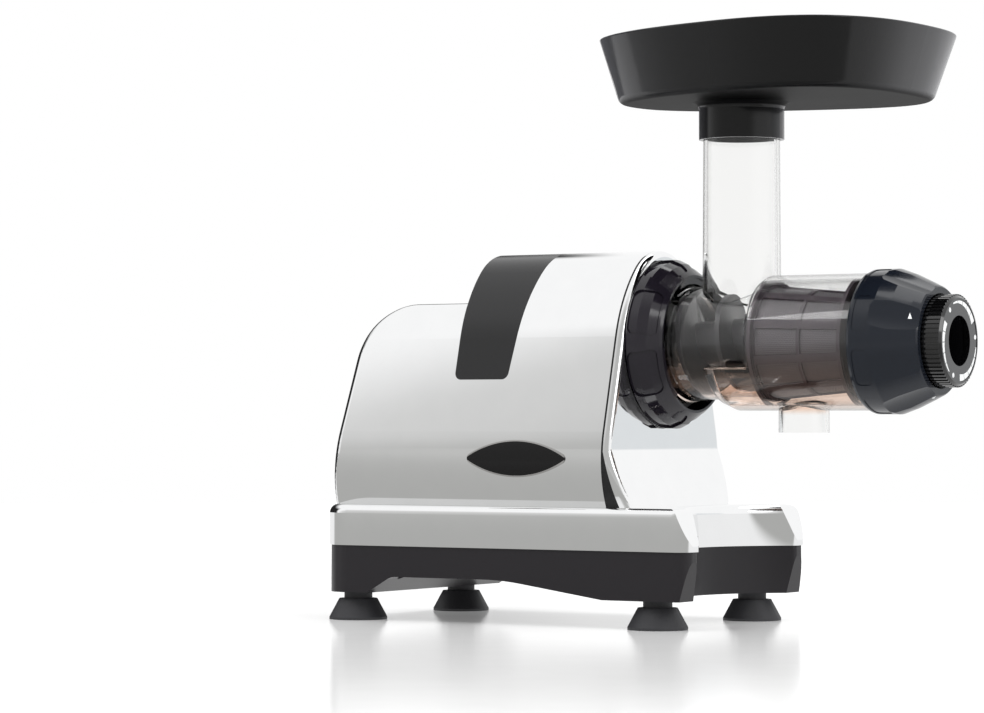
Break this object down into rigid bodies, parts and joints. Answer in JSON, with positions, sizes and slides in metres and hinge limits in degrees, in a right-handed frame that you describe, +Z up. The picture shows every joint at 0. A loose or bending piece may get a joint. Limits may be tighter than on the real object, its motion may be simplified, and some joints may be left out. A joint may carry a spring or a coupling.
{
  "type": "cold press juicer",
  "caption": "Horizontal masticating juicer: footed motor housing with a carrying handle, clear drum with an auger, feed tube with tray, and an end cap with a ribbed dial.",
  "frame": {"origin": "centre of the overall box, on the floor under the feet", "axes": "+X along the drum, from the rear of the housing to the dial; +Z up; the machine is symmetric about the plane Y = 0"},
  "size_m": [0.4454, 0.2096, 0.394],
  "materials": {
    "chrome_plating": "mirror-bright plating over moulded plastic",
    "dark_base": "dark satin moulding",
    "foot_rubber": "matte",
    "handle_band": "satin, fine sheen",
    "badge_black": "bare polished plate",
    "black_gloss": "polished moulding",
    "seal_black": "matte",
    "smoked_grey": "deep grey, slightly translucent",
    "clear_drum": "clear moulded plastic, faint smoke tint",
    "screen_grey": "polished dark grey",
    "strainer_steel": "fine perforated sheet",
    "auger_grey": "glass-filled, polished",
    "cap_slate": "polished dark slate",
    "gear_nylon": "natural nylon",
    "gear_steel": "machined",
    "shaft_steel": "ground",
    "gearbox_plastic": "glass-filled moulding",
    "bush_bronze": "sintered",
    "fastener_steel": "zinc plated",
    "motor_aluminium": "die cast",
    "motor_steel": "painted sheet",
    "lamination_steel": "varnished stack",
    "winding_copper": "varnished wire",
    "fan_nylon": "moulded",
    "capacitor_can": "moulded can"
  },
  "bodies": {
    "housing": {"base_tray": "dark_base", "base_cover": "chrome_plating", "rubber_feet": "foot_rubber", "foot_screws": "fastener_steel", "base_screws": "fastener_steel", "vent_grille": "dark_base", "cord_gland": "foot_rubber", "housing_shell": "chrome_plating", "carry_handle": "handle_band", "seam_gasket": "seal_black", "front_bezel": "chrome_plating", "side_badge": "badge_black", "power_switch_case": "black_gloss", "bayonet_collar": "smoked_grey", "drum": "clear_drum", "drum_seal": "seal_black", "screen_frame": "screen_grey", "screen_mesh": "strainer_steel", "gearbox_case": "gearbox_plastic", "gearbox_cover": "gearbox_plastic", "gearbox_screws": "fastener_steel", "shaft_bushes": "bush_bronze", "shaft_seal": "seal_black", "motor_front_bell": "motor_aluminium", "motor_rear_bell": "motor_aluminium", "motor_casing": "motor_steel", "motor_stator": "lamination_steel", "motor_windings": "winding_copper", "motor_bearings": "bush_bronze", "motor_cradle": "gearbox_plastic", "run_capacitor": "capacitor_can"},
    "locking_ring": {"locking_ring": "smoked_grey"},
    "auger": {"auger": "auger_grey", "output_shaft": "shaft_steel", "output_gear": "gear_nylon"},
    "layshaft": {"layshaft": "shaft_steel", "layshaft_pinion": "gear_steel", "layshaft_wheel": "gear_nylon"},
    "rotor": {"motor_rotor": "lamination_steel", "motor_shaft": "shaft_steel", "motor_pinion": "gear_steel", "cooling_fan": "fan_nylon"},
    "end_cap": {"end_cap": "cap_slate"},
    "knob": {"adjusting_knob": "black_gloss"},
    "sleeve": {"pressure_sleeve": "black_gloss"},
    "hopper": {"hopper": "black_gloss"},
    "rocker": {"switch_rocker": "black_gloss"}
  },
  "joints": [
    {"name": "auger_spin", "type": "hinge", "parent": "housing", "child": "auger", "pos_m": [0, 0, 0.1887], "axis": [1, 0, 0], "continuous": true},
    {"name": "layshaft_spin", "type": "hinge", "parent": "housing", "child": "layshaft", "pos_m": [0, 0, 0.1362], "axis": [1, 0, 0], "continuous": true},
    {"name": "rotor_spin", "type": "hinge", "parent": "housing", "child": "rotor", "pos_m": [0, 0, 0.09745], "axis": [1, 0, 0], "continuous": true},
    {"name": "locking_ring_turn", "type": "hinge", "parent": "housing", "child": "locking_ring", "pos_m": [0, 0, 0.1887], "axis": [1, 0, 0], "range_deg": [0, 60]},
    {"name": "end_cap_turn", "type": "hinge", "parent": "housing", "child": "end_cap", "pos_m": [0, 0, 0.1887], "axis": [1, 0, 0], "range_deg": [0, 45]},
    {"name": "knob_turn", "type": "hinge", "parent": "end_cap", "child": "knob", "pos_m": [0, 0, 0.1887], "axis": [-1, 0, 0], "range_deg": [0, 100]},
    {"name": "sleeve_slide", "type": "slide", "parent": "end_cap", "child": "sleeve", "axis": [-1, 0, 0], "range_m": [0, 0.004]},
    {"name": "hopper_lift", "type": "slide", "parent": "housing", "child": "hopper", "axis": [0, 0, 1], "range_m": [0, 0.05]},
    {"name": "switch_rock", "type": "hinge", "parent": "housing", "child": "rocker", "pos_m": [-0.20851, 0, 0.14965], "axis": [0, 1, 0], "range_deg": [0, 20]}
  ],
  "couplings": [
    {"joint": "layshaft_spin", "follows": "auger_spin", "ratio": -4},
    {"joint": "rotor_spin", "follows": "auger_spin", "ratio": 16.667},
    {"joint": "sleeve_slide", "follows": "knob_turn", "m_per_rad": 0.00229}
  ]
}
